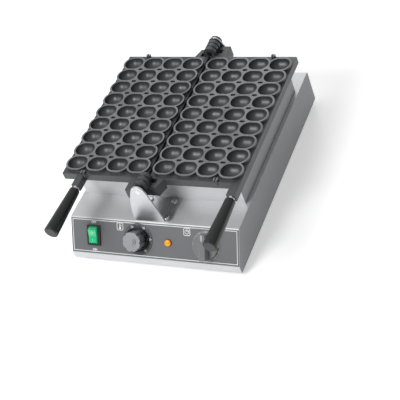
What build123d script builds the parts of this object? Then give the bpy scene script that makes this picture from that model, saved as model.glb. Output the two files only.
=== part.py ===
from build123d import *
from math import hypot
import os

os.makedirs("parts", exist_ok=True)

# Two hinged cast moulds lie open like a book on a heated steel box. All sizes are in millimetres.
# X runs to the right, Y to the back and Z up. Z = 0 is the counter that the feet stand on.
# The pieces are drawn about the hinge line at X = 0 and are moved sideways as they are saved.

# Moulds
columns = 4
rows = 9
column_pitch = 42.0
row_pitch = 33.3
centre_pitch = 52.3
cavity_length = 38.4
cavity_width = 29.6
rim_width = 3.4
rim_height = 5.5
plate_thickness = 14.3
side_margin = 0.9
front_margin = 5.7
back_margin = 8.2
inner_gap = 2.6
parting_gap = 0.3
web_pocket_length = 9.6
web_pocket_width = 5.2
web_pocket_depth = 4.0
locator_radius = 4.4
locator_inset = 2.0
locator_groove = 2.2
locator_depth = 2.5
locator_drop = 6.0

# Folded steel casing
sheet = 1.2
foot_height = 6.0
foot_radius = 11.0
foot_inset = 34.0
foot_round = 1.2
foot_recess = 1.5
casing_width = 335.4
casing_height = 67.4
lip_height = 14.0
panel_run = 40.4
front_shelf = 57.0
back_shelf = 52.8
fold_radius = 1.6
box_width = 321.4
box_front = 140.7
box_back = 142.9
box_height = 54.0
box_flange = 12.0
seat_gap = 0.3
cover_gap = 0.4
vent_length = 40.0
vent_width = 4.0
vent_pitch = 12.0
vent_count = 6

# Handles
block_length = 26.5
left_block_width = 14.0
left_block_inset = 32.2
right_block_width = 16.2
handle_drop = 12.9
collar_gap = 4.5
collar_radius = 6.3
stud_radius = 4.0
stud_depth = 18.0
grip_length = 100.0
grip_thin_radius = 9.3
grip_thick_radius = 12.9
grip_round = 3.0
plug_radius = 10.5
plug_height = 1.6
plug_depth = 3.0

# Hinge
pin_radius = 5.0
pin_clearance = 0.05
knuckle_radius = 12.4
knuckle_length = 9.4
knuckle_gap = 0.5
ring_inset = 1.2
ring_step = 1.5
arm_width = 11.5
arm_offset = 20.6
arm_height = 21.0
arm_taper = 6.8
bracket_thickness = 3.0
bracket_left = 33.5
bracket_right = 36.6
bracket_gap = 1.2
gusset_right = 27.0
bracket_round = 8.0
gusset_round = 13.0
gusset_bulge_left = 27.0
gusset_bulge_right = 20.0
gusset_bulge_drop = 34.0
gusset_shoulder = 12.0
gusset_shoulder_rise = 5.0
bolt_left = 21.0
bolt_right = 26.2
bolt_spread = 38.9
rear_bolt_spread = 34.0
bolt_edge = 6.0
bolt_radius = 3.0
bolt_clearance = 0.3
thread_clearance = 0.05
bolt_head_radius = 5.6
bolt_head_height = 3.2
nut_radius = 5.0
nut_height = 5.0
bracket_clearance = 0.3
cap_radius = 12.0
cap_height = 6.0
pin_proud = 0.2
spacer_radius = 8.0
spacer_clearance = 0.25

# Controls, placed from the panel's centre line and up from its lower fold
overlay_thickness = 0.6
overlay_side = 0.8
overlay_low = 2.0
overlay_high = 1.9
switch_x = -119.2
switch_v = 35.5
bezel_width = 27.0
bezel_length = 37.0
bezel_height = 3.0
bezel_lap = 2.4
bezel_round = 1.2
rocker_width = 16.0
rocker_radius = 16.0
rocker_gap = 0.4
rocker_pivot_depth = 3.0
rocker_pivot_radius = 1.2
rocker_pivot_reach = 1.4
rocker_swing = 16.0
rocker_crown = 11.0
rocker_dish = 2.0
rocker_skirt = 7.0
switch_depth = 30.0
switch_clearance = 0.2
thermostat_x = -28.0
thermostat_v = 34.8
dial_radius = 28.6
dial_thickness = 0.4
shaft_radius = 3.0
shaft_clearance = 0.05
shaft_seat = 14.0
knob_lift = 0.4
knob_skirt_radius = 21.5
knob_skirt_height = 6.0
knob_grip_radius = 17.5
knob_height = 24.0
knob_cap_radius = 8.6
knob_boss_radius = 5.2
knob_core_radius = 12.5
knob_cap = 4.0
cover_thickness = 1.2
flute_count = 8
flute_radius = 5.0
lamp_x = 31.8
lamp_v = 33.0
lamp_radius = 6.6
lamp_rim = 1.4
lamp_height = 5.0
lamp_barrel_radius = 5.2
lamp_depth = 26.0
timer_x = 105.1
timer_v = 33.0
timer_dial_radius = 26.5
timer_skirt_radius = 23.0
timer_skirt_height = 4.0
timer_bar_width = 12.0
timer_height = 17.0
control_width = 38.0
control_depth = 26.0
bush_radius = 5.0

# Inside the casing and the box
tube_radius = 4.0
element_clearance = 6.0
element_side = 24.0
element_end = 22.0
element_lanes = 4
element_tail = 34.0
tail_bend = 12.0
post_width = 12.0
rail_width = 12.0
rail_thickness = 2.0
rail_spread = 124.0
pan_drop = 30.0
pan_gap = 1.0
pan_rim = 12.0
mat_thickness = 12.0
insulator_radius = 7.0
insulator_length = 12.0
bulb_radius = 3.2
bulb_length = 140.0
capillary_radius = 1.0
capillary_out = 20.0
capillary_bend = 6.0
capillary_rise = 12.0
tail_clearance = 1.0
terminal_length = 62.0
terminal_width = 22.0
terminal_height = 20.0
terminal_x = 60.0
terminal_back = 40.0
terminal_ways = 4
terminal_screw_radius = 2.4
terminal_screw_depth = 3.0
gland_x = 118.0
gland_rise = 34.0
gland_radius = 11.0
gland_bore = 4.2
gland_reach = 16.0
gland_thread = 8.0
gland_nut_height = 5.0

# Worked-out places
cavity_radius = cavity_width / 2
first_column = centre_pitch / 2
last_column = first_column + (columns - 1) * column_pitch
last_row = (rows - 1) / 2 * row_pitch
plate_side = last_column + cavity_length / 2 + rim_width + side_margin
plate_front = last_row + cavity_radius + rim_width + front_margin
plate_back = last_row + cavity_radius + rim_width + back_margin
locator_x = last_column - column_pitch / 2
casing_front = box_front + front_shelf + panel_run
casing_back = box_back + back_shelf
front_reach = plate_front + block_length + collar_gap + grip_length + plug_height
back_reach = casing_back + gland_reach
mid_y = (front_reach - back_reach) / 2
right_reach = plate_side - right_block_width / 2 + grip_thick_radius
mid_x = (right_reach - plate_side) / 2
casing_low = foot_height
shelf_z = casing_low + casing_height
box_top = shelf_z + box_height
plate_low = box_top + seat_gap
plate_top = plate_low + plate_thickness
rim_top = plate_top + rim_height
axis_z = rim_top + parting_gap / 2
panel_rise = casing_height - lip_height
panel_height = hypot(panel_rise, panel_run)
panel_plane = Plane(
    origin=(0, mid_y - casing_front, casing_low + lip_height),
    x_dir=(1, 0, 0),
    z_dir=(0, -panel_rise, panel_run),
)
face_plane = panel_plane.offset(overlay_thickness)


# Each piece goes to its own file, moved so that the footprint's middle is at X = 0
def save(builder, name):
    piece = Pos(-mid_x, 0, 0) * builder.part
    piece.label = name
    export_step(piece, f"parts/{name}.step")


# Rectangle given by its corners
def span(x_low, x_high, y_low, y_high, mode=Mode.ADD):
    with Locations(((x_low + x_high) / 2, (y_low + y_high) / 2)):
        return Rectangle(x_high - x_low, y_high - y_low, mode=mode)


# The mould halves are castings: a plate, scalloped rims, capsule cavities, arms and knuckles.
# side is -1 for the left half and 1 for the right half.
def cavity_spots(side):
    return [
        (side * (first_column + i * column_pitch), mid_y + (j - (rows - 1) / 2) * row_pitch)
        for i in range(columns)
        for j in range(rows)
    ]


# Small pockets sit in the web wherever four cavities meet
def pocket_spots(side):
    return [
        (side * (first_column + (i + 0.5) * column_pitch), mid_y + (j + 1 - rows / 2) * row_pitch)
        for i in range(columns - 1)
        for j in range(rows - 1)
    ]


def x_span(side, near, far):
    return (side * near, side * far) if side > 0 else (side * far, side * near)


front_face = mid_y - plate_front
back_face = mid_y + plate_back
front_start = front_face - knuckle_gap
back_start = back_face + knuckle_gap
knuckle_step = knuckle_length + knuckle_gap


# Low and high Y of a knuckle, counted outwards from the plate's edge
def knuckle_span(end, order):
    reach = order * knuckle_step
    if end < 0:
        return front_start - reach - knuckle_length, front_start - reach
    return back_start + reach, back_start + reach + knuckle_length


# Upright plane across the hinge axis, looking forward
def front_plane(y):
    return Plane(origin=(0, y, axis_z), x_dir=(1, 0, 0), z_dir=(0, -1, 0))


# The left half holds the first and last knuckles in front, and the right half does at the back
def knuckle_orders(side, end):
    return (0, 2) if side * end > 0 else (1,)


# Shape of one baked ball, whose lower half is sunk into the casting
with BuildPart() as capsule:
    with BuildSketch(Plane.XZ):
        SlotOverall(cavity_length, cavity_width)
        span(-cavity_length, cavity_length, 0, cavity_width, mode=Mode.SUBTRACT)
    revolve(axis=Axis.X)


def build_mould(side):
    plate_x = x_span(side, inner_gap, plate_side)
    web_x = x_span(side, 0, arm_offset + arm_width - arm_taper)
    with BuildPart() as mould:
        with BuildSketch(Plane.XY.offset(plate_low)):
            span(*plate_x, front_face, back_face)
        extrude(amount=plate_thickness)
        with BuildSketch(Plane.XY.offset(plate_top)):
            with Locations(*cavity_spots(side)):
                SlotOverall(cavity_length + 2 * rim_width, cavity_width + 2 * rim_width)
            span(*x_span(side, first_column, last_column), mid_y - last_row, mid_y + last_row)
            with Locations(*pocket_spots(side)):
                SlotOverall(web_pocket_length, web_pocket_width, mode=Mode.SUBTRACT)
        extrude(amount=rim_height)
        with BuildSketch(Plane.XY.offset(plate_top)):
            with Locations(*pocket_spots(side)):
                SlotOverall(web_pocket_length, web_pocket_width)
        extrude(amount=rim_height - web_pocket_depth)
        for end, edge in ((-1, front_face), (1, back_face)):
            with BuildSketch(Plane.XY.offset(plate_top - locator_drop)):
                with Locations((side * locator_x, edge - end * locator_inset)):
                    Circle(locator_radius)
            extrude(amount=locator_drop + rim_height)
            with BuildSketch(Plane.XY.offset(rim_top)):
                with Locations((side * locator_x, edge - end * locator_inset)):
                    Rectangle(locator_groove, 2 * locator_radius)
            extrude(amount=-locator_depth, mode=Mode.SUBTRACT)
        with Locations(*[(x, y, rim_top) for x, y in cavity_spots(side)]):
            add(capsule.part, mode=Mode.SUBTRACT)
        for end in (-1, 1):
            edge = front_face if end < 0 else back_face
            orders = knuckle_orders(side, end)
            outer = max(abs(y - edge) for order in orders for y in knuckle_span(end, order))
            taper = arm_taper if len(orders) == 1 else 0
            with BuildSketch(Plane.XY.offset(plate_top)):
                Polygon(
                    (side * arm_offset, edge),
                    (side * (arm_offset + arm_width), edge),
                    (side * (arm_offset + arm_width - taper), edge + end * outer),
                    (side * arm_offset, edge + end * outer),
                    align=None,
                )
            extrude(amount=-arm_height)
            for order in knuckle_orders(side, end):
                low, high = knuckle_span(end, order)
                with BuildSketch(Plane.XY.offset(plate_top)):
                    span(*web_x, low, high)
                extrude(amount=-arm_height)
                with BuildSketch(front_plane(high)):
                    Circle(knuckle_radius - ring_step)
                extrude(amount=high - low)
                with BuildSketch(front_plane(high - ring_inset)):
                    Circle(knuckle_radius)
                extrude(amount=high - low - 2 * ring_inset)
        for end in (-1, 1):
            for order in (0, 1, 2):
                low, high = knuckle_span(end, order)
                with BuildSketch(front_plane(high)):
                    if order in knuckle_orders(side, end):
                        Circle(pin_radius + pin_clearance)
                    else:
                        Circle(knuckle_radius + knuckle_gap)
                extrude(amount=high - low, mode=Mode.SUBTRACT)
        block = handle_span(side)
        with BuildSketch(Plane.XY.offset(plate_low)):
            span(*block, front_face - block_length, front_face)
        extrude(amount=plate_thickness)
        with BuildSketch(handle_plane(side)):
            Circle(stud_radius)
        extrude(amount=-stud_depth, mode=Mode.SUBTRACT)
    return mould


# Low and high X of the block that carries a handle: set in on the left, flush on the right
def handle_span(side):
    if side < 0:
        return -plate_side + left_block_inset, -plate_side + left_block_inset + left_block_width
    return plate_side - right_block_width, plate_side


# Plane on the block's front end, looking forward along the handle
def handle_plane(side):
    return Plane(
        origin=(sum(handle_span(side)) / 2, front_face - block_length, axis_z - handle_drop),
        x_dir=(1, 0, 0),
        z_dir=(0, -1, 0),
    )


for side, name in ((-1, "left"), (1, "right")):
    save(build_mould(side), f"{name}_mould")

# Each handle is a steel stud with a collar, a tapered moulded grip and an end plug
for side, name in ((-1, "left"), (1, "right")):
    start = handle_plane(side)
    with BuildPart() as stud:
        with BuildSketch(start.offset(-stud_depth)):
            Circle(stud_radius)
        extrude(amount=stud_depth + collar_gap + grip_length - plug_depth)
        with BuildSketch(start):
            Circle(collar_radius)
        extrude(amount=collar_gap)
    save(stud, f"{name}_handle_stud")

    with BuildPart() as grip:
        with BuildSketch(start.offset(collar_gap)):
            Circle(grip_thin_radius)
        with BuildSketch(start.offset(collar_gap + grip_length)):
            Circle(grip_thick_radius)
        loft()
        fillet(grip.edges().filter_by(GeomType.CIRCLE).group_by(Axis.Y)[-1], grip_round)
        fillet(grip.edges().filter_by(GeomType.CIRCLE).group_by(Axis.Y)[0], grip_round / 4)
        with BuildSketch(start.offset(collar_gap)):
            Circle(stud_radius)
        extrude(amount=grip_length, mode=Mode.SUBTRACT)
        with BuildSketch(start.offset(collar_gap + grip_length)):
            Circle(plug_radius)
        extrude(amount=-plug_depth, mode=Mode.SUBTRACT)
    save(grip, f"{name}_grip")

    with BuildPart() as plug:
        with BuildSketch(start.offset(collar_gap + grip_length - plug_depth)):
            Circle(plug_radius)
        extrude(amount=plug_depth + plug_height)
        fillet(plug.edges().group_by(Axis.Y)[0], plug_height * 0.9)
    save(plug, f"{name}_end_plug")


# Side outline of the casing, as seen from the right
def casing_outline():
    front = mid_y - casing_front
    back = mid_y + casing_back
    return [
        (front, casing_low),
        (front, casing_low + lip_height),
        (front + panel_run, shelf_z),
        (back, shelf_z),
        (back, casing_low),
    ]


# Cut-outs shared by the casing's slope and the printed overlay on it
with BuildPart() as openings:
    with BuildSketch(panel_plane.offset(-2 * sheet)):
        with Locations((switch_x, switch_v)):
            Rectangle(bezel_width - bezel_lap, bezel_length - bezel_lap)
        with Locations((thermostat_x, thermostat_v), (timer_x, timer_v)):
            Circle(bush_radius + shaft_clearance)
        with Locations((lamp_x, lamp_v)):
            Circle(lamp_barrel_radius + shaft_clearance)
    extrude(amount=4 * sheet)

foot_x = casing_width / 2 - foot_inset
foot_front = mid_y - casing_front + foot_inset
foot_back = mid_y + casing_back - foot_inset
foot_spots = [(x, y) for x in (-foot_x, foot_x) for y in (foot_front, foot_back)]
front_bolt_y = mid_y - box_front - front_shelf + bracket_gap + bracket_thickness + bolt_edge
back_bolt_y = mid_y + casing_back - bracket_gap - bracket_thickness - bolt_edge
front_bolts = [(x, y) for x in (-bolt_left, bolt_right) for y in (front_bolt_y, front_bolt_y + bolt_spread)]
back_bolts = [(x, y) for x in (-bolt_right, bolt_left) for y in (back_bolt_y, back_bolt_y - rear_bolt_spread)]
all_bolts = front_bolts + back_bolts
gland_z = casing_low + gland_rise

# Folded stainless casing with the sloped control face and a hole under the heating box
with BuildPart() as casing:
    with BuildSketch(Plane.YZ.offset(-casing_width / 2)) as outline:
        Polygon(*casing_outline(), align=None)
        fillet(outline.vertices().sort_by(Axis.Y)[2:], fold_radius)
    extrude(amount=casing_width)
    with BuildSketch(Plane.YZ.offset(-casing_width / 2 + sheet)):
        Polygon(*casing_outline(), align=None)
        offset(amount=-sheet, kind=Kind.INTERSECTION, mode=Mode.REPLACE)
        span(mid_y - casing_front + sheet, mid_y + casing_back - sheet, casing_low, casing_low + 2 * sheet)
    extrude(amount=casing_width - 2 * sheet, mode=Mode.SUBTRACT)
    with BuildSketch(Plane.XY.offset(shelf_z - 2 * sheet)):
        span(
            -box_width / 2 + box_flange,
            box_width / 2 - box_flange,
            mid_y - box_front + box_flange,
            mid_y + box_back - box_flange,
        )
    extrude(amount=4 * sheet, mode=Mode.SUBTRACT)
    with BuildSketch(Plane.XY.offset(shelf_z - 2 * sheet)):
        with Locations(*all_bolts):
            Circle(bolt_radius + bolt_clearance)
    extrude(amount=4 * sheet, mode=Mode.SUBTRACT)
    with BuildSketch(Plane(origin=(gland_x, mid_y + casing_back - 2 * sheet, gland_z), z_dir=(0, 1, 0))):
        Circle(gland_thread + bolt_clearance)
    extrude(amount=4 * sheet, mode=Mode.SUBTRACT)
    add(openings.part, mode=Mode.SUBTRACT)
save(casing, "casing")

# Bottom cover with vent slots, held by the feet
with BuildPart() as cover:
    inner_x = casing_width / 2 - sheet - cover_gap
    inner_front = mid_y - casing_front + sheet + cover_gap
    inner_back = mid_y + casing_back - sheet - cover_gap
    with BuildSketch(Plane.XY.offset(casing_low)):
        span(-inner_x, inner_x, inner_front, inner_back)
        with Locations(*foot_spots):
            Circle(bolt_radius + bolt_clearance, mode=Mode.SUBTRACT)
        with Locations((0, mid_y)):
            with GridLocations(2 * vent_length, vent_pitch, 2, vent_count):
                SlotOverall(vent_length, vent_width, mode=Mode.SUBTRACT)
    extrude(amount=sheet)
    with BuildSketch(Plane.XY.offset(casing_low + sheet)):
        span(-inner_x, inner_x, inner_front, inner_back)
        offset(amount=-sheet, kind=Kind.INTERSECTION, mode=Mode.SUBTRACT)
    extrude(amount=lip_height - 3 * sheet)
save(cover, "bottom_cover")

# Rubber feet and the screws through them
with BuildPart() as feet:
    with BuildSketch(Plane.XY):
        with Locations(*foot_spots):
            Circle(foot_radius)
    extrude(amount=foot_height)
    fillet(feet.edges().group_by(Axis.Z)[0], foot_round)
    with BuildSketch(Plane.XY):
        with Locations(*foot_spots):
            Circle(bolt_head_radius + bolt_clearance)
    extrude(amount=foot_recess + bolt_head_height, mode=Mode.SUBTRACT)
    with BuildSketch(Plane.XY):
        with Locations(*foot_spots):
            Circle(bolt_radius + bolt_clearance)
    extrude(amount=foot_height, mode=Mode.SUBTRACT)
save(feet, "rubber_feet")

with BuildPart() as foot_screws:
    with BuildSketch(Plane.XY.offset(foot_recess)):
        with Locations(*foot_spots):
            Circle(bolt_head_radius)
    extrude(amount=bolt_head_height)
    with BuildSketch(Plane.XY.offset(foot_recess)):
        with Locations(*foot_spots):
            Circle(bolt_radius)
    extrude(amount=foot_height + nut_height)
save(foot_screws, "foot_screws")

with BuildPart() as foot_nuts:
    with BuildSketch(Plane.XY.offset(casing_low + sheet)):
        with Locations(*foot_spots):
            RegularPolygon(nut_radius, 6)
            Circle(bolt_radius + thread_clearance, mode=Mode.SUBTRACT)
    extrude(amount=nut_height)
save(foot_nuts, "foot_nuts")

# Heating box: four walls with an inward flange on top, standing on the casing's shelf
with BuildPart() as heater_box:
    box_x = box_width / 2
    with BuildSketch(Plane.XY.offset(shelf_z)) as walls:
        span(-box_x, box_x, mid_y - box_front, mid_y + box_back)
        fillet(walls.vertices(), fold_radius)
    extrude(amount=box_height)
    with BuildSketch(Plane.XY.offset(shelf_z)):
        span(-box_x + sheet, box_x - sheet, mid_y - box_front + sheet, mid_y + box_back - sheet)
    extrude(amount=box_height - sheet, mode=Mode.SUBTRACT)
    with BuildSketch(Plane.XY.offset(shelf_z)):
        span(
            -box_x + box_flange,
            box_x - box_flange,
            mid_y - box_front + box_flange,
            mid_y + box_back - box_flange,
        )
    extrude(amount=box_height, mode=Mode.SUBTRACT)
save(heater_box, "heater_box")

pan_x = box_width / 2 - sheet - pan_gap
pan_front = mid_y - box_front + sheet + pan_gap
pan_back = mid_y + box_back - sheet - pan_gap
element_z = box_top - element_clearance - tube_radius
pan_z = element_z - pan_drop


# A heating element snakes under one mould half, with both ends turned down to the wiring space
def element_points(side):
    near = inner_gap + element_side
    far = box_width / 2 - element_side
    step = (far - near) / (element_lanes - 1)
    low = mid_y - box_front + element_end + tube_radius
    high = mid_y + box_back - element_end - tube_radius
    points = [(side * near, low, element_z - element_tail)]
    for i in range(element_lanes):
        x = side * (near + i * step)
        first, second = (low, high) if i % 2 == 0 else (high, low)
        points += [(x, first, element_z), (x, second, element_z)]
    points.append((side * far, low, element_z - element_tail))
    return points, step


for side, name in ((-1, "left"), (1, "right")):
    points, step = element_points(side)
    bends = [tail_bend] + [step / 2 - 0.5] * (2 * element_lanes - 2) + [tail_bend]
    with BuildPart() as element:
        with BuildLine() as route:
            FilletPolyline(*points, radius=bends)
        with BuildSketch(Plane(origin=points[0], z_dir=(0, 0, 1))):
            Circle(tube_radius)
        sweep(path=route.wires()[0])
    save(element, f"{name}_heating_element")

    # Ceramic bushes on the two tails under the reflector pan
    with BuildPart() as bushes:
        for tail in (points[0], points[-1]):
            with BuildSketch(Plane.XY.offset(tail[2] - insulator_length)):
                with Locations((tail[0], tail[1])):
                    Circle(insulator_radius)
            extrude(amount=insulator_length)
    save(bushes, f"{name}_element_terminals")

# The bulb lies across the two rails, and its capillary drops to the thermostat
lane_step = (box_width / 2 - element_side - inner_gap - element_side) / (element_lanes - 1)
bulb_x = -(inner_gap + element_side + lane_step / 2)
bulb_z = element_z - tube_radius + bulb_radius
bulb_end = mid_y - bulb_length / 2
control_behind = panel_plane.offset(-sheet - control_depth)
thermostat_back = control_behind.from_local_coords((thermostat_x, thermostat_v, 0))
capillary_y = bulb_end - capillary_out
capillary_low = casing_low + capillary_rise
turn_depth = (thermostat_back.Z - capillary_low) / control_behind.z_dir.Z
capillary_turn = control_behind.from_local_coords((thermostat_x, thermostat_v, -turn_depth))
tail_spots = [
    (point[0], point[1])
    for side in (-1, 1)
    for point in (element_points(side)[0][0], element_points(side)[0][-1])
]

# Reflector pan under the elements, lined below by a fibre mat
with BuildPart() as pan:
    with BuildSketch(Plane.XY.offset(pan_z)):
        span(-pan_x, pan_x, pan_front, pan_back)
        with Locations(*tail_spots):
            Circle(tube_radius + tail_clearance, mode=Mode.SUBTRACT)
        with Locations((bulb_x, capillary_y)):
            Circle(capillary_radius + tail_clearance, mode=Mode.SUBTRACT)
    extrude(amount=sheet)
    with BuildSketch(Plane.XY.offset(pan_z + sheet)):
        span(-pan_x, pan_x, pan_front, pan_back)
        offset(amount=-sheet, kind=Kind.INTERSECTION, mode=Mode.SUBTRACT)
    extrude(amount=pan_rim)
save(pan, "reflector_pan")

with BuildPart() as mat:
    with BuildSketch(Plane.XY.offset(pan_z - mat_thickness)):
        span(-pan_x + pan_rim, pan_x - pan_rim, pan_front + pan_rim, pan_back - pan_rim)
        with Locations(*tail_spots):
            Circle(insulator_radius + tail_clearance, mode=Mode.SUBTRACT)
        with Locations((bulb_x, capillary_y)):
            Circle(capillary_radius + tail_clearance, mode=Mode.SUBTRACT)
    extrude(amount=mat_thickness)
save(mat, "insulation_mat")

with BuildPart() as pan_posts:
    with BuildSketch(Plane.XY.offset(shelf_z)):
        for x in (-pan_x, pan_x - post_width):
            for y in (pan_front, pan_back - post_width):
                span(x, x + post_width, y, y + post_width)
    extrude(amount=pan_z - shelf_z)
save(pan_posts, "pan_posts")

# Two flat rails on legs carry the elements and the sensing bulb above the pan
rail_top = element_z - tube_radius
with BuildPart() as rails:
    for y in (mid_y - rail_spread / 2, mid_y + rail_spread / 2):
        with BuildSketch(Plane.XY.offset(rail_top - rail_thickness)):
            span(-pan_x + pan_rim, pan_x - pan_rim, y - rail_width / 2, y + rail_width / 2)
        extrude(amount=rail_thickness)
        with BuildSketch(Plane.XY.offset(pan_z + sheet)):
            for x in (-pan_x + pan_rim, pan_x - pan_rim - rail_thickness, -rail_thickness / 2):
                span(x, x + rail_thickness, y - rail_width / 2, y + rail_width / 2)
        extrude(amount=rail_top - rail_thickness - pan_z - sheet)
save(rails, "element_rails")

with BuildPart() as bulb:
    with BuildSketch(Plane(origin=(bulb_x, bulb_end, bulb_z), z_dir=(0, 1, 0))):
        Circle(bulb_radius)
    extrude(amount=bulb_length)
save(bulb, "sensing_bulb")

with BuildPart() as capillary:
    with BuildLine() as capillary_route:
        FilletPolyline(
            (bulb_x, bulb_end, bulb_z),
            (bulb_x, capillary_y, bulb_z),
            (bulb_x, capillary_y, capillary_low),
            (capillary_turn.X, capillary_turn.Y, capillary_low),
            (thermostat_back.X, thermostat_back.Y, thermostat_back.Z),
            radius=capillary_bend,
        )
    with BuildSketch(Plane(origin=(bulb_x, bulb_end, bulb_z), z_dir=(0, -1, 0))):
        Circle(capillary_radius)
    sweep(path=capillary_route.wires()[0])
save(capillary, "capillary_tube")

# Hinge brackets: a bent steel plate with a flange on the shelf and an upright gusset for the pin.
# end is -1 for the front bracket and 1 for the back one, which is turned round and a little shorter.
for end, name in ((-1, "front"), (1, "rear")):
    shelf_end = mid_y - box_front - front_shelf if end < 0 else mid_y + casing_back
    outer = shelf_end - end * bracket_gap
    inner = outer - end * bracket_thickness
    wall = mid_y - box_front if end < 0 else mid_y + box_back
    flange_y = sorted((outer, wall + end * bracket_clearance))
    flange_x = sorted((end * bracket_left, -end * bracket_right))
    base_drop = axis_z - shelf_z
    spots = front_bolts if end < 0 else back_bolts
    with BuildPart() as bracket:
        with BuildSketch(Plane.XY.offset(shelf_z)) as flange:
            span(*flange_x, *flange_y)
            fillet(flange.vertices().sort_by_distance((-end * bracket_right, outer))[0], bracket_round)
            with Locations(*spots):
                Circle(bolt_radius + bolt_clearance, mode=Mode.SUBTRACT)
        extrude(amount=bracket_thickness)
        with BuildSketch(front_plane(outer)):
            with BuildLine():
                Line((end * bracket_left, -base_drop), (-end * gusset_right, -base_drop))
                ThreePointArc(
                    (-end * gusset_right, -base_drop),
                    (-end * gusset_bulge_right, -gusset_bulge_drop),
                    (-end * gusset_shoulder, gusset_shoulder_rise),
                )
                ThreePointArc(
                    (-end * gusset_shoulder, gusset_shoulder_rise),
                    (0, gusset_round),
                    (end * gusset_shoulder, gusset_shoulder_rise),
                )
                ThreePointArc(
                    (end * gusset_shoulder, gusset_shoulder_rise),
                    (end * gusset_bulge_left, -gusset_bulge_drop),
                    (end * bracket_left, -base_drop),
                )
            make_face()
            Circle(pin_radius + pin_clearance, mode=Mode.SUBTRACT)
        extrude(amount=end * bracket_thickness)
    save(bracket, f"{name}_bracket")

    last_low, last_high = knuckle_span(end, 2)
    knuckle_end = last_low if end < 0 else last_high
    pin_start = (front_face if end < 0 else back_face) + end * knuckle_gap
    with BuildPart() as pin:
        with BuildSketch(front_plane(pin_start)):
            Circle(pin_radius)
        extrude(amount=-end * (abs(outer - pin_start) + pin_proud))
        if end > 0:
            with BuildSketch(front_plane(outer)):
                Circle(cap_radius)
            extrude(amount=-cap_height)
            fillet(pin.faces().sort_by(Axis.Y)[-1].edges(), cap_height / 4)
    save(pin, f"{name}_hinge_pin")

    with BuildPart() as spacer:
        with BuildSketch(front_plane(inner)):
            Circle(spacer_radius)
            Circle(pin_radius + pin_clearance, mode=Mode.SUBTRACT)
        extrude(amount=end * (abs(inner - knuckle_end) - spacer_clearance))
    save(spacer, f"{name}_spacer")

# Dome-head bolts through flange and shelf, with nuts inside the casing
with BuildPart() as bolts:
    with BuildSketch(Plane.XY.offset(shelf_z + bracket_thickness)):
        with Locations(*all_bolts):
            Circle(bolt_head_radius)
    extrude(amount=bolt_head_height)
    fillet(bolts.edges().group_by(Axis.Z)[-1], bolt_head_height * 0.8)
    with BuildSketch(Plane.XY.offset(shelf_z - sheet - nut_height)):
        with Locations(*all_bolts):
            Circle(bolt_radius)
    extrude(amount=sheet + nut_height + bracket_thickness)
save(bolts, "bracket_bolts")

with BuildPart() as nuts:
    with BuildSketch(Plane.XY.offset(shelf_z - sheet)):
        with Locations(*all_bolts):
            RegularPolygon(nut_radius, 6)
            Circle(bolt_radius + thread_clearance, mode=Mode.SUBTRACT)
    extrude(amount=-nut_height)
save(nuts, "bracket_nuts")

# Printed overlay on the sloped face
with BuildPart() as overlay:
    overlay_x = casing_width / 2 - overlay_side
    with BuildSketch(panel_plane):
        span(-overlay_x, overlay_x, overlay_low, panel_height - overlay_high)
    extrude(amount=overlay_thickness)
    add(openings.part, mode=Mode.SUBTRACT)
save(overlay, "panel_overlay")

# Power switch: a body with a bezel, and a rocker that tilts on two small pivots.
# Its rest is ON, with the lower end pressed in.
pivot_point = face_plane.from_local_coords((switch_x, switch_v, -rocker_pivot_depth))
pivot_plane = Plane(origin=pivot_point, x_dir=panel_plane.y_dir, z_dir=panel_plane.x_dir)
rest_lean = panel_plane.y_dir.rotate(Axis((0, 0, 0), panel_plane.x_dir), rocker_swing / 2)
rest_plane = Plane(origin=pivot_point, x_dir=rest_lean, z_dir=panel_plane.x_dir)
pocket_width = rocker_width + 2 * rocker_gap
pocket_length = 2 * (rocker_radius + rocker_gap)
with BuildPart() as switch_body:
    with BuildSketch(face_plane):
        with Locations((switch_x, switch_v)):
            RectangleRounded(bezel_width, bezel_length, bezel_round)
    extrude(amount=bezel_height)
    body_width = bezel_width - bezel_lap - 2 * switch_clearance
    body_length = bezel_length - bezel_lap - 2 * switch_clearance
    with BuildSketch(face_plane):
        with Locations((switch_x, switch_v)):
            Rectangle(body_width, body_length)
    extrude(amount=-switch_depth)
    with BuildSketch(face_plane.offset(bezel_height)):
        with Locations((switch_x, switch_v)):
            Rectangle(pocket_width, pocket_length)
    extrude(amount=-bezel_height - rocker_pivot_depth - rocker_radius, mode=Mode.SUBTRACT)
    with BuildSketch(pivot_plane):
        Circle(rocker_pivot_radius + shaft_clearance)
    extrude(amount=rocker_width / 2 + rocker_pivot_reach + rocker_gap, both=True, mode=Mode.SUBTRACT)
save(switch_body, "switch_body")

with BuildPart() as rocker:
    with BuildSketch(rest_plane):
        Circle(rocker_radius)
        Polygon(
            (-rocker_radius, -rocker_skirt),
            (rocker_radius, -rocker_skirt),
            (rocker_radius, rocker_crown),
            (0, rocker_crown - rocker_dish),
            (-rocker_radius, rocker_crown),
            align=None,
            mode=Mode.INTERSECT,
        )
    extrude(amount=rocker_width / 2, both=True)
    with BuildSketch(rest_plane):
        Circle(rocker_pivot_radius)
    extrude(amount=rocker_width / 2 + rocker_pivot_reach, both=True)
save(rocker, "rocker")


# Control body behind the panel, with a bush that the shaft turns in
def build_control(x, v):
    with BuildPart() as control:
        with BuildSketch(panel_plane.offset(-sheet)):
            with Locations((x, v)):
                Rectangle(control_width, control_width)
        extrude(amount=-control_depth)
        with BuildSketch(panel_plane.offset(-sheet)):
            with Locations((x, v)):
                Circle(bush_radius)
        extrude(amount=sheet + overlay_thickness + dial_thickness)
        with BuildSketch(panel_plane.offset(overlay_thickness + dial_thickness)):
            with Locations((x, v)):
                Circle(shaft_radius + shaft_clearance)
        extrude(amount=-shaft_seat - shaft_clearance, mode=Mode.SUBTRACT)
    return control


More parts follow.
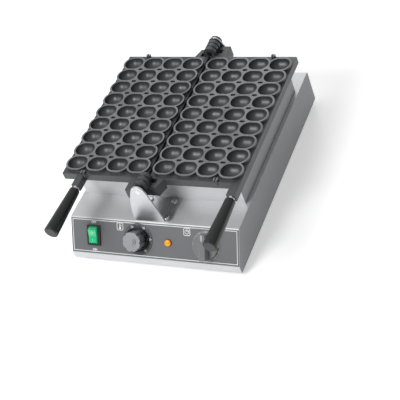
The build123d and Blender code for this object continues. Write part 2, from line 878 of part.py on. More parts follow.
def build_dial(x, v, radius):
    with BuildPart() as dial:
        with BuildSketch(face_plane):
            with Locations((x, v)):
                Circle(radius)
                Circle(bush_radius + shaft_clearance, mode=Mode.SUBTRACT)
        extrude(amount=dial_thickness)
    return dial


def build_shaft(x, v, reach):
    with BuildPart() as shaft:
        with BuildSketch(panel_plane.offset(overlay_thickness + dial_thickness - shaft_seat)):
            with Locations((x, v)):
                Circle(shaft_radius)
        extrude(amount=shaft_seat + knob_lift + reach)
    return shaft


save(build_control(thermostat_x, thermostat_v), "thermostat_body")
save(build_control(timer_x, timer_v), "timer_body")
save(build_dial(thermostat_x, thermostat_v, dial_radius), "temperature_dial")
save(build_dial(timer_x, timer_v, timer_dial_radius), "timer_dial")
save(build_shaft(thermostat_x, thermostat_v, knob_height - knob_cap), "thermostat_shaft")
save(build_shaft(timer_x, timer_v, timer_height - knob_cap), "timer_shaft")

# Thermostat knob: a dark skirted core with a fluted metal cover over its grip
knob_plane = face_plane.offset(dial_thickness + knob_lift)
with BuildPart() as knob:
    with BuildSketch(knob_plane):
        with Locations((thermostat_x, thermostat_v)):
            Circle(knob_skirt_radius)
    extrude(amount=knob_skirt_height)
    with BuildSketch(knob_plane.offset(knob_skirt_height)):
        with Locations((thermostat_x, thermostat_v)):
            Circle(knob_core_radius)
    extrude(amount=knob_height - knob_skirt_height - cover_thickness)
    with BuildSketch(knob_plane):
        with Locations((thermostat_x, thermostat_v)):
            Circle(shaft_radius)
    extrude(amount=knob_height - knob_cap, mode=Mode.SUBTRACT)
save(knob, "thermostat_knob")

with BuildPart() as knob_cover:
    with BuildSketch(knob_plane.offset(knob_skirt_height)):
        with Locations((thermostat_x, thermostat_v)):
            Circle(knob_grip_radius)
            with PolarLocations(knob_grip_radius + flute_radius * 0.72, flute_count):
                Circle(flute_radius, mode=Mode.SUBTRACT)
    extrude(amount=knob_height - knob_skirt_height)
    with BuildSketch(knob_plane.offset(knob_skirt_height)):
        with Locations((thermostat_x, thermostat_v)):
            Circle(knob_core_radius)
    extrude(amount=knob_height - knob_skirt_height - cover_thickness, mode=Mode.SUBTRACT)
    with BuildSketch(knob_plane.offset(knob_height)):
        with Locations((thermostat_x, thermostat_v)):
            Circle(knob_cap_radius)
    extrude(amount=cover_thickness)
    with BuildSketch(knob_plane.offset(knob_height + cover_thickness)):
        with Locations((thermostat_x, thermostat_v)):
            Circle(knob_boss_radius)
    extrude(amount=cover_thickness)
save(knob_cover, "thermostat_knob_cover")

# Timer knob: a round skirt with a straight bar to turn it by
timer_plane = face_plane.offset(dial_thickness + knob_lift)
with BuildPart() as timer_knob:
    with BuildSketch(timer_plane):
        with Locations((timer_x, timer_v)):
            Circle(timer_skirt_radius)
    extrude(amount=timer_skirt_height)
    with BuildSketch(timer_plane):
        with Locations((timer_x, timer_v)):
            Rectangle(timer_bar_width, 2 * timer_skirt_radius)
            Circle(timer_skirt_radius, mode=Mode.INTERSECT)
    extrude(amount=timer_height)
    with BuildSketch(timer_plane):
        with Locations((timer_x, timer_v)):
            Circle(shaft_radius)
    extrude(amount=timer_height - knob_cap, mode=Mode.SUBTRACT)
save(timer_knob, "timer_knob")

# Signal lamp: a domed lens over a barrel that passes through the panel
with BuildPart() as lamp_body:
    with BuildSketch(face_plane):
        with Locations((lamp_x, lamp_v)):
            Circle(lamp_radius)
    extrude(amount=lamp_rim)
    with BuildSketch(face_plane):
        with Locations((lamp_x, lamp_v)):
            Circle(lamp_barrel_radius)
    extrude(amount=-lamp_depth)
save(lamp_body, "lamp_body")

with BuildPart() as lens:
    with BuildSketch(face_plane.offset(lamp_rim)):
        with Locations((lamp_x, lamp_v)):
            Circle(lamp_radius - lamp_rim / 2)
    extrude(amount=lamp_height - lamp_rim)
    fillet(lens.edges().sort_by(Axis.Z)[-1], (lamp_height - lamp_rim) * 0.8)
save(lens, "lamp_lens")

# Terminal block and cable gland at the back
with BuildPart() as terminal_block:
    with BuildSketch(Plane.XY.offset(casing_low + sheet)):
        with Locations((terminal_x, mid_y + casing_back - terminal_back)):
            Rectangle(terminal_length, terminal_width)
    extrude(amount=terminal_height)
    with BuildSketch(Plane.XY.offset(casing_low + sheet + terminal_height)):
        with Locations((terminal_x, mid_y + casing_back - terminal_back)):
            with GridLocations(terminal_length / terminal_ways, terminal_width / 2, terminal_ways, 2):
                Circle(terminal_screw_radius)
    extrude(amount=-terminal_screw_depth, mode=Mode.SUBTRACT)
save(terminal_block, "terminal_block")

gland_plane = Plane(origin=(gland_x, mid_y + casing_back, gland_z), z_dir=(0, 1, 0))
with BuildPart() as gland:
    with BuildSketch(gland_plane):
        Circle(gland_radius)
    extrude(amount=gland_reach)
    chamfer(gland.edges().group_by(Axis.Y)[-1], gland_radius / 5)
    with BuildSketch(gland_plane):
        Circle(gland_thread)
    extrude(amount=-sheet - gland_nut_height)
    with BuildSketch(gland_plane.offset(gland_reach)):
        Circle(gland_bore)
    extrude(amount=-gland_reach - sheet - gland_nut_height, mode=Mode.SUBTRACT)
save(gland, "cable_gland")

with BuildPart() as gland_nut:
    with BuildSketch(gland_plane.offset(-sheet)):
        RegularPolygon(gland_radius, 6)
        Circle(gland_thread + thread_clearance, mode=Mode.SUBTRACT)
    extrude(amount=-gland_nut_height)
save(gland_nut, "gland_nut")
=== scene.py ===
"""A countertop cooker for filled balls: two hinged cast mould halves lie open on a heated steel box.

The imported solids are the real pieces. This script dresses them and adds the printed and small parts
that lie on them. All places are in metres, with X to the right, Y to the back and Z up.
"""

import bpy
import numpy as np
from mathutils import Matrix, Vector


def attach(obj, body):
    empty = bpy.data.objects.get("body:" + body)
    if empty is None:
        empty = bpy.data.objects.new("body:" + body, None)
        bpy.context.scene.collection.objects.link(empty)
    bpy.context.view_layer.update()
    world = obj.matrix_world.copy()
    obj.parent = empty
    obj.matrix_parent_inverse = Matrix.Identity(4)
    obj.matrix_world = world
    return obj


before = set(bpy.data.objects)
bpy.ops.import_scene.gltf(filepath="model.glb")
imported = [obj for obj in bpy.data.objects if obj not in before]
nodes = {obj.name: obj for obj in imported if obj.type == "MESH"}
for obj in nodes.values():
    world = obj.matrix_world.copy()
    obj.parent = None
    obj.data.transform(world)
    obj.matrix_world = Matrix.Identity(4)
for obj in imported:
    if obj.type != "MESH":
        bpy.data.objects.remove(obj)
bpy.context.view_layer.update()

# Studio: a pale table with soft daylight from above and from the left.
# The camera stands in front and to the right, as high as a standing cook's eyes.
for stale in ("Cube", "Light", "Camera"):
    if stale in bpy.data.objects:
        bpy.data.objects.remove(bpy.data.objects[stale])
bpy.context.scene.view_settings.view_transform = "Standard"


def linear(code):
    """Linear red, green, blue and 1, from an sRGB hex code, by the two-part sRGB curve."""
    srgb = np.array([int(code[i : i + 2], 16) for i in (0, 2, 4)]) / 255
    value = np.where(srgb <= 0.04045, srgb / 12.92, ((srgb + 0.055) / 1.055) ** 2.4)
    return (*value, 1.0)


def add(tree, kind, inputs, **settings):
    """Add a node. Each input is a number or colour, or the output socket that feeds it."""
    made = tree.nodes.new(kind)
    for name, value in settings.items():
        setattr(made, name, value)
    for name, value in inputs.items():
        if isinstance(value, bpy.types.NodeSocket):
            tree.links.new(value, made.inputs[name])
        else:
            made.inputs[name].default_value = value
    return made


def surface(name, **sockets):
    """A new material with one Principled shader, whose constant sockets are set directly."""
    material = bpy.data.materials.new(name)
    material.use_nodes = True
    shader = material.node_tree.nodes["Principled BSDF"]
    for socket, value in sockets.items():
        shader.inputs[socket.replace("_", " ")].default_value = value
    return material, material.node_tree, shader


def grid_mesh(name, points, closed_u=False, closed_v=False):
    """An object whose faces join neighbouring points of a grid of shape (rows, columns, 3)."""
    rows, columns = points.shape[:2]
    index = np.arange(rows * columns).reshape(rows, columns)
    if closed_u:
        index = np.vstack([index, index[:1]])
    if closed_v:
        index = np.hstack([index, index[:, :1]])
    faces = np.stack([index[:-1, :-1], index[:-1, 1:], index[1:, 1:], index[1:, :-1]], -1)
    mesh = bpy.data.meshes.new(name)
    mesh.from_pydata(points.reshape(-1, 3).tolist(), [], faces.reshape(-1, 4).tolist())
    made = bpy.data.objects.new(name, mesh)
    bpy.context.scene.collection.objects.link(made)
    return made


camera_data = bpy.data.cameras.new("camera")
camera_data.sensor_width = 36.0
camera_data.lens = 99.33
camera_data.clip_end = 20.0
camera = bpy.data.objects.new("camera", camera_data)
bpy.context.scene.collection.objects.link(camera)
bpy.context.scene.camera = camera
camera_right = Vector((0.889804, 0.345889, -0.297674))
camera_down = Vector((0.060056, -0.735388, -0.674980))
camera_ahead = Vector((-0.452374, 0.582723, -0.675124))
turn = Matrix((camera_right, -camera_down, -camera_ahead)).transposed().to_4x4()
camera.matrix_world = Matrix.Translation((0.9384, -1.2198, 1.3706)) @ turn

world = bpy.data.worlds.new("daylight")
bpy.context.scene.world = world
world.use_nodes = True
sky = world.node_tree
path = add(sky, "ShaderNodeLightPath", {})
direction = add(sky, "ShaderNodeTexCoord", {})
bright_way = (-0.42, 0.58, 0.70)
facing = add(
    sky,
    "ShaderNodeVectorMath",
    {0: direction.outputs["Generated"], 1: bright_way},
    operation="DOT_PRODUCT",
)
side = add(
    sky,
    "ShaderNodeMapRange",
    {"Value": facing.outputs["Value"], "From Min": -0.35, "From Max": 1.0, "To Min": 0.2, "To Max": 0.76},
)
seen = add(sky, "ShaderNodeMath", {0: 1.0, 1: path.outputs["Is Camera Ray"]}, operation="MULTIPLY")
level = add(sky, "ShaderNodeMath", {0: side.outputs["Result"], 1: seen.outputs[0]}, operation="MAXIMUM")
sky.links.new(level.outputs[0], sky.nodes["Background"].inputs["Strength"])
sky.nodes["Background"].inputs["Color"].default_value = (1.0, 1.0, 1.0, 1.0)


def lamp(name, place, size, power):
    """A square soft light of the given side in metres, aimed at the middle of the cooker."""
    data = bpy.data.lights.new(name, "AREA")
    data.size = size
    data.energy = power
    made = bpy.data.objects.new(name, data)
    bpy.context.scene.collection.objects.link(made)
    aim = Vector((0, 0, 0.1)) - Vector(place)
    made.matrix_world = Matrix.Translation(place) @ aim.to_track_quat("-Z", "Y").to_matrix().to_4x4()


lamp("window_light", (-0.40, 1.75, 0.62), 0.6, 9.0)
lamp("front_light", (-0.55, -1.25, 1.45), 0.8, 22.0)

reach = np.array([-6.0, 6.0])
floor_x, floor_y = np.meshgrid(reach, reach)
floor = grid_mesh("table_top", np.stack([floor_x, floor_y, np.full_like(floor_x, -0.0002)], -1))
floor_material, floor_tree, floor_shader = surface(
    "matte_white_laminate", Base_Color=linear("f7f7f7"), Roughness=0.9, Specular_IOR_Level=0.1
)
floor_shader.inputs["Emission Color"].default_value = (1.0, 1.0, 1.0, 1.0)
floor_shader.inputs["Emission Strength"].default_value = 0.3
floor.data.materials.append(floor_material)

# Casing, heating box, cover, hinge brackets and inner sheet parts: 1.2 to 3 mm stainless steel,
# cut, folded and spot welded. The rolled grain is fine and runs along each face's length.


def dress(material, *names):
    """Give these solids one material in place of the plain one that they came with."""
    for name in names:
        nodes[name].data.materials.clear()
        nodes[name].data.materials.append(material)


def brushed(name, tone, rough, grain_mm, across, painted_side_shade_tone=None, metal=0.95):
    """Brushed metal: noise 60 times longer than wide, whose long way is the face's own length.
    Walls that face sideways take the grain along Y, and all others along the axis given.
    Where a side tone is given, those sideways walls also take it as their colour: a darker painted shade."""
    material, tree, shader = surface(name, Metallic=metal, Roughness=rough)
    place = add(tree, "ShaderNodeTexCoord", {}).outputs["Object"]
    per_metre = 1000.0 / grain_mm
    long_way = per_metre / 60.0
    scale_x = (long_way, per_metre, per_metre) if across == "X" else (per_metre, long_way, per_metre)
    front = add(tree, "ShaderNodeMapping", {"Vector": place, "Scale": scale_x})
    sideways = add(tree, "ShaderNodeMapping", {"Vector": place, "Scale": (per_metre, long_way, per_metre)})
    normal = add(tree, "ShaderNodeNewGeometry", {}).outputs["Normal"]
    facing = add(tree, "ShaderNodeSeparateXYZ", {"Vector": normal}).outputs["X"]
    off_axis = add(tree, "ShaderNodeMath", {0: facing}, operation="ABSOLUTE")
    is_side = add(tree, "ShaderNodeMath", {0: off_axis.outputs[0], 1: 0.5}, operation="GREATER_THAN")
    choice = add(
        tree,
        "ShaderNodeMix",
        {"Factor": is_side.outputs[0]},
        data_type="VECTOR",
    )
    for socket, value in (("A", front.outputs[0]), ("B", sideways.outputs[0])):
        tree.links.new(value, [s for s in choice.inputs if s.name == socket and s.type == "VECTOR"][0])
    lines = [s for s in choice.outputs if s.type == "VECTOR"][0]
    streak = add(
        tree,
        "ShaderNodeTexNoise",
        {"Vector": lines, "Scale": 1.0, "Detail": 2.0, "Roughness": 0.6},
    )
    cloud = add(tree, "ShaderNodeTexNoise", {"Vector": place, "Scale": 14.0, "Detail": 2.0})
    tint = add(
        tree,
        "ShaderNodeMapRange",
        {"Value": streak.outputs["Fac"], "From Min": 0.3, "From Max": 0.7, "To Min": 0.9, "To Max": 1.0},
    )
    # Walls that face sideways take the side tone here, a painted shade; all others keep the metal's own
    # tone.
    sheet = add(tree, "ShaderNodeMix", {"Factor": is_side.outputs[0]}, data_type="RGBA")
    sheet.inputs[6].default_value = linear(tone)
    sheet.inputs[7].default_value = linear(painted_side_shade_tone or tone)
    shade = add(
        tree,
        "ShaderNodeHueSaturation",
        {"Value": tint.outputs["Result"], "Color": sheet.outputs[2]},
    )
    tree.links.new(shade.outputs["Color"], shader.inputs["Base Color"])
    wear = add(tree, "ShaderNodeMath", {0: streak.outputs["Fac"], 1: cloud.outputs["Fac"]}, operation="ADD")
    gloss = add(
        tree,
        "ShaderNodeMapRange",
        {
            "Value": wear.outputs[0],
            "From Min": 0.6,
            "From Max": 1.4,
            "To Min": rough - 0.07,
            "To Max": rough + 0.07,
        },
    )
    tree.links.new(gloss.outputs["Result"], shader.inputs["Roughness"])
    edge = add(tree, "ShaderNodeBevel", {"Radius": 0.0006}, samples=4)
    ridge = add(
        tree,
        "ShaderNodeBump",
        {"Height": streak.outputs["Fac"], "Strength": 0.12, "Distance": 0.0001, "Normal": edge.outputs[0]},
    )
    tree.links.new(ridge.outputs["Normal"], shader.inputs["Normal"])
    return material


# The casing's side tone 8f9092 is painted shade: its walls that face sideways are painted darker than its
# top and front.
brushed_stainless = brushed("brushed_stainless_steel", "d6d7d9", 0.5, 0.5, "X", "8f9092", 0.55)
polished_stainless = brushed("ground_stainless_plate", "d3d4d7", 0.3, 0.35, "Y")
galvanised = brushed("rolled_steel_sheet", "a9abae", 0.42, 0.8, "X")
dress(brushed_stainless, "casing", "heater_box")
dress(polished_stainless, "front_bracket", "rear_bracket")
dress(galvanised, "bottom_cover", "pan_posts", "element_rails")

# Mould halves: sand-cast aluminium, machined on the rims, with a sprayed dark non-stick coat.
# The coat is fine grained and dull. Its flat rim tops, which meet as the halves close, are painted a
# lighter grey in patches: a painted sheen of the light on them.
rim_level = 0.1475


def cast_coat(name):
    """Dark coat whose colour and gloss vary with soft noise, with a lighter grey painted on the flat rim
    tops as a painted sheen.
    """
    material, tree, shader = surface(name, Metallic=0.25, Roughness=0.4, Specular_IOR_Level=0.85)
    place = add(tree, "ShaderNodeTexCoord", {}).outputs["Object"]
    grit = add(tree, "ShaderNodeTexNoise", {"Vector": place, "Scale": 1700.0, "Detail": 2.0})
    patch = add(tree, "ShaderNodeTexNoise", {"Vector": place, "Scale": 30.0, "Detail": 3.0})
    geometry = add(tree, "ShaderNodeNewGeometry", {})
    height = add(tree, "ShaderNodeSeparateXYZ", {"Vector": place}).outputs["Z"]
    upright = add(tree, "ShaderNodeSeparateXYZ", {"Vector": geometry.outputs["Normal"]}).outputs["Z"]
    from_rim = add(tree, "ShaderNodeMath", {0: height, 1: rim_level}, operation="SUBTRACT")
    distance = add(tree, "ShaderNodeMath", {0: from_rim.outputs[0]}, operation="ABSOLUTE")
    near_top = add(
        tree,
        "ShaderNodeMapRange",
        {
            "Value": distance.outputs[0],
            "From Min": 0.0002,
            "From Max": 0.0007,
            "To Min": 1.0,
            "To Max": 0.0,
        },
    )
    flat_top = add(tree, "ShaderNodeMapRange", {"Value": upright, "From Min": 0.6, "From Max": 0.95})
    # Flat, upward-facing faces at rim level are masked here for the painted sheen, patchy by the noise
    # below.
    painted_sheen_top = add(
        tree,
        "ShaderNodeMath",
        {0: near_top.outputs["Result"], 1: flat_top.outputs["Result"]},
        operation="MULTIPLY",
    )
    sheen_patchiness = add(
        tree,
        "ShaderNodeMapRange",
        {"Value": patch.outputs["Fac"], "From Min": 0.3, "From Max": 0.7, "To Min": 0.45, "To Max": 0.9},
    )
    share = add(
        tree,
        "ShaderNodeMath",
        {0: painted_sheen_top.outputs[0], 1: sheen_patchiness.outputs["Result"]},
        operation="MULTIPLY",
    )
    base = add(tree, "ShaderNodeMix", {"Factor": patch.outputs["Fac"]}, data_type="RGBA")
    base.inputs[6].default_value = linear("37383a")
    base.inputs[7].default_value = linear("4b4c4e")
    # The flat rim tops take the lighter grey 85868a here: painted sheen, not the coat's own colour.
    colour = add(tree, "ShaderNodeMix", {"Factor": share.outputs[0]}, data_type="RGBA")
    tree.links.new(base.outputs[2], colour.inputs[6])
    colour.inputs[7].default_value = linear("85868a")
    tree.links.new(colour.outputs[2], shader.inputs["Base Color"])
    gloss = add(
        tree,
        "ShaderNodeMapRange",
        {"Value": patch.outputs["Fac"], "From Min": 0.3, "From Max": 0.7, "To Min": 0.36, "To Max": 0.48},
    )
    tree.links.new(gloss.outputs["Result"], shader.inputs["Roughness"])
    edge = add(tree, "ShaderNodeBevel", {"Radius": 0.0009}, samples=4)
    grain = add(
        tree,
        "ShaderNodeBump",
        {"Height": grit.outputs["Fac"], "Strength": 0.25, "Distance": 0.00012, "Normal": edge.outputs[0]},
    )
    tree.links.new(grain.outputs["Normal"], shader.inputs["Normal"])
    return material


coat = cast_coat("non_stick_coated_cast_aluminium")
dress(coat, "left_mould", "right_mould")

# Handles: a steel stud with a collar screws into each half, and carries a tapered phenolic grip.
# The grip is compression moulded and glossy, and a dull disc closes its end.


def moulded(name, tone, rough, grain_mm, strength):
    """Moulded plastic: one colour with faint clouding, and a fine dimpled skin."""
    material, tree, shader = surface(name, Roughness=rough, IOR=1.5)
    place = add(tree, "ShaderNodeTexCoord", {}).outputs["Object"]
    skin = add(tree, "ShaderNodeTexNoise", {"Vector": place, "Scale": 1000.0 / grain_mm, "Detail": 2.0})
    cloud = add(tree, "ShaderNodeTexNoise", {"Vector": place, "Scale": 60.0, "Detail": 2.0})
    tint = add(
        tree,
        "ShaderNodeMapRange",
        {"Value": cloud.outputs["Fac"], "From Min": 0.3, "From Max": 0.7, "To Min": 0.88, "To Max": 1.08},
    )
    shade = add(tree, "ShaderNodeHueSaturation", {"Value": tint.outputs["Result"], "Color": linear(tone)})
    tree.links.new(shade.outputs["Color"], shader.inputs["Base Color"])
    gloss = add(
        tree,
        "ShaderNodeMapRange",
        {
            "Value": cloud.outputs["Fac"],
            "From Min": 0.3,
            "From Max": 0.7,
            "To Min": rough - 0.04,
            "To Max": rough + 0.05,
        },
    )
    tree.links.new(gloss.outputs["Result"], shader.inputs["Roughness"])
    edge = add(tree, "ShaderNodeBevel", {"Radius": 0.0004}, samples=4)
    dimple = add(
        tree,
        "ShaderNodeBump",
        {
            "Height": skin.outputs["Fac"],
            "Strength": strength,
            "Distance": 0.0001,
            "Normal": edge.outputs[0],
        },
    )
    tree.links.new(dimple.outputs["Normal"], shader.inputs["Normal"])
    return material


phenolic = moulded("black_phenolic", "111213", 0.22, 0.9, 0.06)
plug_nylon = moulded("dull_grey_nylon", "3a3b3e", 0.5, 0.5, 0.15)
bright_steel = brushed("turned_bright_steel", "e6e7e9", 0.2, 0.2, "X")
dress(phenolic, "left_grip", "right_grip")
dress(plug_nylon, "left_end_plug", "right_end_plug")
dress(bright_steel, "left_handle_stud", "right_handle_stud")

# Hinge: a ground pin at each end runs through the knuckles and the bracket, with a spacer ring.
# Bolts, nuts and screws are cold-headed stainless steel.
dark_steel = brushed("blackened_steel", "3e4042", 0.34, 0.25, "X")
dress(bright_steel, "front_hinge_pin", "foot_screws", "foot_nuts", "bracket_nuts")
dress(bright_steel, "bracket_bolts", "thermostat_shaft", "timer_shaft")
dress(dark_steel, "rear_hinge_pin", "front_spacer", "rear_spacer")

# Control face: a grey printed film on the sloped steel, with a thin white line inside its edge
# and OFF and ON at the switch. The inks are screen printed, so they stand proud by a few hundredths.
slope_rise = 0.0534
slope_run = 0.0404
slope_length = np.hypot(slope_rise, slope_run)
face_start = np.array([-0.0024, -0.1991, 0.020])
face_up = np.array([0.0, slope_run, slope_rise]) / slope_length
face_out = np.array([0.0, -slope_rise, slope_run]) / slope_length
film_lift = 0.0006
ink_lift = film_lift + 0.00004


def on_face(across, up, lift):
    """Points at this distance across, up the slope and out from the folded steel, all in metres."""
    across, up, lift = np.broadcast_arrays(across, up, lift)
    flat = np.stack([across, np.zeros_like(across), np.zeros_like(across)], -1)
    return face_start + flat + up[..., None] * face_up + lift[..., None] * face_out


def ring_strip(name, centre, inner, outer, start, end, lift, steps=64):
    """A flat band between two radii about a point of the face, from one angle to another."""
    angle = np.linspace(start, end, steps)[:, None]
    radius = np.array([inner, outer])[None, :]
    return grid_mesh(
        name,
        on_face(centre[0] + radius * np.cos(angle), centre[1] + radius * np.sin(angle), lift),
    )


def ticks(name, centre, inner, outer, angles, width, lift):
    """Short bars that point away from a centre: each is its radius range times its width."""
    angle = np.asarray(angles)[:, None, None]
    radius = np.array([inner, outer])[None, :, None]
    half = np.array([-0.5, 0.5])[None, None, :] * width
    across = centre[0] + radius * np.cos(angle) - half * np.sin(angle)
    up = centre[1] + radius * np.sin(angle) + half * np.cos(angle)
    points = on_face(across, up, lift).reshape(-1, 3)
    mesh = bpy.data.meshes.new(name)
    first = 4 * np.arange(len(angles))[:, None]
    mesh.from_pydata(points.tolist(), [], (first + np.array([0, 2, 3, 1])).tolist())
    made = bpy.data.objects.new(name, mesh)
    bpy.context.scene.collection.objects.link(made)
    return made


def lettering(name, words, size, across, up, lift, turned=0.0):
    """Flat letters as a mesh, centred on a point of the face and turned in its plane."""
    curve = bpy.data.curves.new(name, "FONT")
    curve.body = words
    curve.size = size
    curve.offset = 0.035 * size
    curve.align_x = "CENTER"
    curve.align_y = "CENTER"
    draft = bpy.data.objects.new(name + "_draft", curve)
    bpy.context.scene.collection.objects.link(draft)
    bpy.context.view_layer.update()
    mesh = bpy.data.meshes.new_from_object(draft)
    bpy.data.objects.remove(draft)
    flat = np.zeros(len(mesh.vertices) * 3)
    mesh.vertices.foreach_get("co", flat)
    flat = flat.reshape(-1, 3)
    x = flat[:, 0] * np.cos(turned) - flat[:, 1] * np.sin(turned)
    y = flat[:, 0] * np.sin(turned) + flat[:, 1] * np.cos(turned)
    place = on_face(across + x, up + y, lift)
    mesh.vertices.foreach_set("co", place.ravel())
    made = bpy.data.objects.new(name, mesh)
    bpy.context.scene.collection.objects.link(made)
    return made


def printed(piece, material, body="base"):
    """Put a printed mark on its body, in its ink."""
    piece.data.materials.clear()
    piece.data.materials.append(material)
    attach(piece, body)


film, film_tree, film_shader = surface("satin_printed_polyester", Roughness=0.42, Metallic=0.2)
film_place = add(film_tree, "ShaderNodeTexCoord", {}).outputs["Object"]
film_grain = add(film_tree, "ShaderNodeTexNoise", {"Vector": film_place, "Scale": 1400.0, "Detail": 2.0})
film_cloud = add(film_tree, "ShaderNodeTexNoise", {"Vector": film_place, "Scale": 9.0, "Detail": 2.0})
film_tone = add(film_tree, "ShaderNodeMix", {"Factor": film_cloud.outputs["Fac"]}, data_type="RGBA")
film_tone.inputs[6].default_value = linear("66676a")
film_tone.inputs[7].default_value = linear("737477")
film_tree.links.new(film_tone.outputs[2], film_shader.inputs["Base Color"])
film_bump = add(
    film_tree,
    "ShaderNodeBump",
    {"Height": film_grain.outputs["Fac"], "Strength": 0.15, "Distance": 0.00008},
)
film_tree.links.new(film_bump.outputs["Normal"], film_shader.inputs["Normal"])
dress(film, "panel_overlay")

white_ink = moulded("white_screen_ink", "e9eaea", 0.5, 0.4, 0.05)

line_half = 0.1643
line_low = 0.0048
line_high = 0.0634
line_width = 0.0012
corner = np.array([[-1, 0], [1, 0], [1, 1], [-1, 1]])
border_x = corner[:, :1] * (line_half - np.array([[0.0, line_width]]))
border_v = np.where(
    corner[:, 1:] > 0,
    line_high - np.array([[0.0, line_width]]),
    line_low + np.array([[0.0, line_width]]),
)
border = grid_mesh("border_line", on_face(border_x, border_v, ink_lift), closed_u=True)
printed(border, white_ink)
for name, words, size, across, up in (
    ("word_off", "OFF", 0.0058, -0.1192, 0.0588),
    ("word_on", "ON", 0.0058, -0.1192, 0.0088),
):
    printed(lettering(name, words, size, across, up, ink_lift), white_ink)

# Two outlined plates beside the knobs carry plain white signs for heat and for time.


def plate_outline(name, centre, width, height, radius, line):
    """The band between two rounded rectangles that share their corner centres: four quarter circles
    whose straight sides come from joining them."""
    angle = np.linspace(0, np.pi / 2, 7)[None, :] + np.pi / 2 * np.arange(4)[:, None]
    hub_x = np.array([1, -1, -1, 1])[:, None] * (width / 2 - radius)
    hub_y = np.array([1, 1, -1, -1])[:, None] * (height / 2 - radius)
    size = np.array([radius, radius - line])
    across = centre[0] + (hub_x + 0 * angle).reshape(-1, 1) + size * np.cos(angle).reshape(-1, 1)
    up = centre[1] + (hub_y + 0 * angle).reshape(-1, 1) + size * np.sin(angle).reshape(-1, 1)
    return grid_mesh(name, on_face(across, up, ink_lift), closed_u=True)


heat_sign = (-0.0646, 0.0550)
time_sign = (0.0688, 0.0550)
printed(plate_outline("heat_plate", heat_sign, 0.0130, 0.0138, 0.0026, 0.0011), white_ink)
printed(plate_outline("time_plate", time_sign, 0.0130, 0.0138, 0.0026, 0.0011), white_ink)
printed(ring_strip("heat_sign_bulb", (-0.0646, 0.0521), 0.0, 0.0021, 0.0, 2 * np.pi, ink_lift), white_ink)
printed(
    ticks("heat_sign_stem", (-0.0646, 0.0521), 0.0015, 0.0078, [np.pi / 2], 0.0017, ink_lift),
    white_ink,
)
printed(
    ticks("heat_sign_marks", (-0.0646, 0.0561), 0.0018, 0.0036, [0.0, 0.5], 0.0007, ink_lift),
    white_ink,
)
printed(ring_strip("time_sign_ring", time_sign, 0.0032, 0.0042, 0.0, 2 * np.pi, ink_lift), white_ink)
printed(ticks("time_sign_hands", time_sign, 0.0, 0.0029, [np.pi / 2, 0.25], 0.0009, ink_lift), white_ink)

# Power switch: a black bezel clips into the slope, and a translucent green rocker tilts in it.
# Its lamp is on, so the green glows a little, with white marks for on and off.
bezel_nylon = moulded("black_nylon", "2a2b2d", 0.4, 0.5, 0.12)
dress(bezel_nylon, "switch_body")
green, green_tree, green_shader = surface(
    "green_polycarbonate", Base_Color=linear("0fb978"), Roughness=0.16, IOR=1.58, Coat_Weight=0.4
)
green_place = add(green_tree, "ShaderNodeTexCoord", {}).outputs["Object"]
glow = add(green_tree, "ShaderNodeTexNoise", {"Vector": green_place, "Scale": 90.0, "Detail": 1.0})
glow_level = add(
    green_tree,
    "ShaderNodeMapRange",
    {"Value": glow.outputs["Fac"], "From Min": 0.3, "From Max": 0.7, "To Min": 0.18, "To Max": 0.32},
)
green_shader.inputs["Emission Color"].default_value = linear("12c987")
green_tree.links.new(glow_level.outputs["Result"], green_shader.inputs["Emission Strength"])
dress(green, "rocker")

pivot = np.array([-0.1192, 0.0355])
swing = np.radians(8.0)


def on_rocker(along, across, raise_by):
    """Points on the rocker's shallow V top: along it from the pivot, and across it.
    The V drops to the middle by 2 mm over 16 mm, and all is tilted by half the swing."""
    height = 0.0090 + 0.0020 * np.abs(along) / 0.0160 + raise_by
    up = along * np.cos(swing) - height * np.sin(swing)
    out = along * np.sin(swing) + height * np.cos(swing)
    return on_face(pivot[0] + across, pivot[1] + up, film_lift - 0.003 + out)


mark_turn = np.linspace(0, 2 * np.pi, 41)[:, None]
mark_radius = np.array([[0.0019, 0.0027]])
off_mark = grid_mesh(
    "rocker_off_ring",
    on_rocker(0.0070 + mark_radius * np.sin(mark_turn), mark_radius * np.cos(mark_turn), 0.00005),
)
bar_along, bar_across = np.meshgrid(np.array([-0.0098, -0.0045]), np.array([-0.00045, 0.00045]))
on_mark = grid_mesh("rocker_on_bar", on_rocker(bar_along, bar_across, 0.00005))
for mark in (off_mark, on_mark):
    mark.data.materials.append(white_ink)
    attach(mark, "rocker_button")

# Thermostat: a dark dial ring with a white printed scale lies on the film. The black knob
# has a pressed aluminium cover with flutes, and a spot face on top.
spun_aluminium = brushed("spun_aluminium", "a6a7aa", 0.42, 0.3, "X")
dial_coat = moulded("dark_printed_aluminium", "404143", 0.36, 0.4, 0.05)
dress(spun_aluminium, "thermostat_knob_cover", "reflector_pan")
dress(dial_coat, "temperature_dial")
dress(phenolic, "thermostat_knob")
dial_centre = (-0.0280, 0.0348)
dial_lift = film_lift + 0.0004 + 0.00004
start_turn, end_turn = np.radians(235.0), np.radians(-55.0)
small = np.linspace(start_turn, end_turn, 51)
printed(ticks("dial_small_ticks", dial_centre, 0.0258, 0.0272, small, 0.0004, dial_lift), white_ink)
printed(ticks("dial_large_ticks", dial_centre, 0.0252, 0.0276, small[::10], 0.0009, dial_lift), white_ink)
for step, turn_at in enumerate(small[::10]):
    at = np.array(dial_centre) + 0.0236 * np.array([np.cos(turn_at), np.sin(turn_at)])
    number = lettering(
        f"dial_number_{step}",
        str(50 * (step + 1)),
        0.0034,
        at[0],
        at[1],
        dial_lift,
        turn_at - np.pi / 2,
    )
    printed(number, white_ink)
pointer = ticks(
    "knob_pointer",
    dial_centre,
    0.0178,
    0.0212,
    [start_turn],
    0.0012,
    film_lift + 0.0008 + 0.006 + 0.00004,
)
printed(pointer, white_ink, "thermostat_dial")

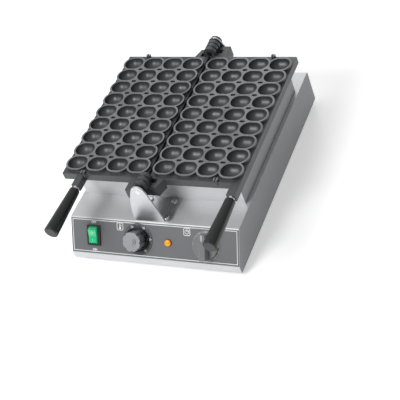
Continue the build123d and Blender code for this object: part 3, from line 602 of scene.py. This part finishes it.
# Signal lamp: an amber polycarbonate lens in a black barrel.
dress(phenolic, "lamp_body")
amber, amber_tree, amber_shader = surface(
    "amber_polycarbonate", Base_Color=linear("f09a1c"), Roughness=0.14, IOR=1.58, Coat_Weight=0.4
)
amber_place = add(amber_tree, "ShaderNodeTexCoord", {}).outputs["Object"]
facets = add(amber_tree, "ShaderNodeTexVoronoi", {"Vector": amber_place, "Scale": 900.0})
facet_bump = add(
    amber_tree,
    "ShaderNodeBump",
    {"Height": facets.outputs["Distance"], "Strength": 0.2, "Distance": 0.0002},
)
amber_tree.links.new(facet_bump.outputs["Normal"], amber_shader.inputs["Normal"])
amber_shader.inputs["Emission Color"].default_value = linear("ff9d1a")
amber_shader.inputs["Emission Strength"].default_value = 0.25
dress(amber, "lamp_lens")

# Timer: a plain disc with a minute scale, and a knob with a straight grip bar.
timer_nylon = moulded("grey_nylon", "77787b", 0.4, 0.5, 0.15)
timer_coat = brushed("anodised_aluminium", "8b8c8e", 0.4, 0.3, "X")
dress(timer_coat, "timer_dial")
dress(timer_nylon, "timer_knob")
timer_centre = (0.1051, 0.0330)
minutes = np.linspace(np.radians(90.0), np.radians(-240.0), 31)
printed(ticks("timer_small_ticks", timer_centre, 0.0238, 0.0250, minutes, 0.0005, dial_lift), white_ink)
printed(
    ticks("timer_large_ticks", timer_centre, 0.0236, 0.0258, minutes[::5], 0.0010, dial_lift),
    white_ink,
)
timer_line = ticks(
    "timer_pointer",
    timer_centre,
    0.0120,
    0.0222,
    [np.pi / 2],
    0.0012,
    film_lift + 0.0008 + 0.017 + 0.00004,
)
printed(timer_line, white_ink, "timer_dial_knob")

# Feet: moulded rubber, dull and slightly dusty. The gland at the back is moulded nylon.
rubber = moulded("moulded_rubber", "1b1b1c", 0.75, 0.6, 0.3)
dress(rubber, "rubber_feet")
dress(phenolic, "cable_gland", "gland_nut", "thermostat_body", "timer_body")

# Inside: sheathed heating elements on rails, ceramic bushes, a fibre mat, and a copper sensing bulb.
heater_sheath = brushed("oxidised_heater_sheath", "55514b", 0.5, 0.3, "X")
copper = brushed("drawn_copper", "c98a5e", 0.35, 0.2, "X")
ceramic = moulded("fired_steatite", "e4e0d6", 0.45, 0.4, 0.1)
fibre = moulded("pressed_mineral_fibre", "dedbd0", 0.9, 1.2, 0.8)
dress(heater_sheath, "left_heating_element", "right_heating_element")
dress(copper, "sensing_bulb", "capillary_tube")
dress(ceramic, "left_element_terminals", "right_element_terminals", "terminal_block")
dress(fibre, "insulation_mat")
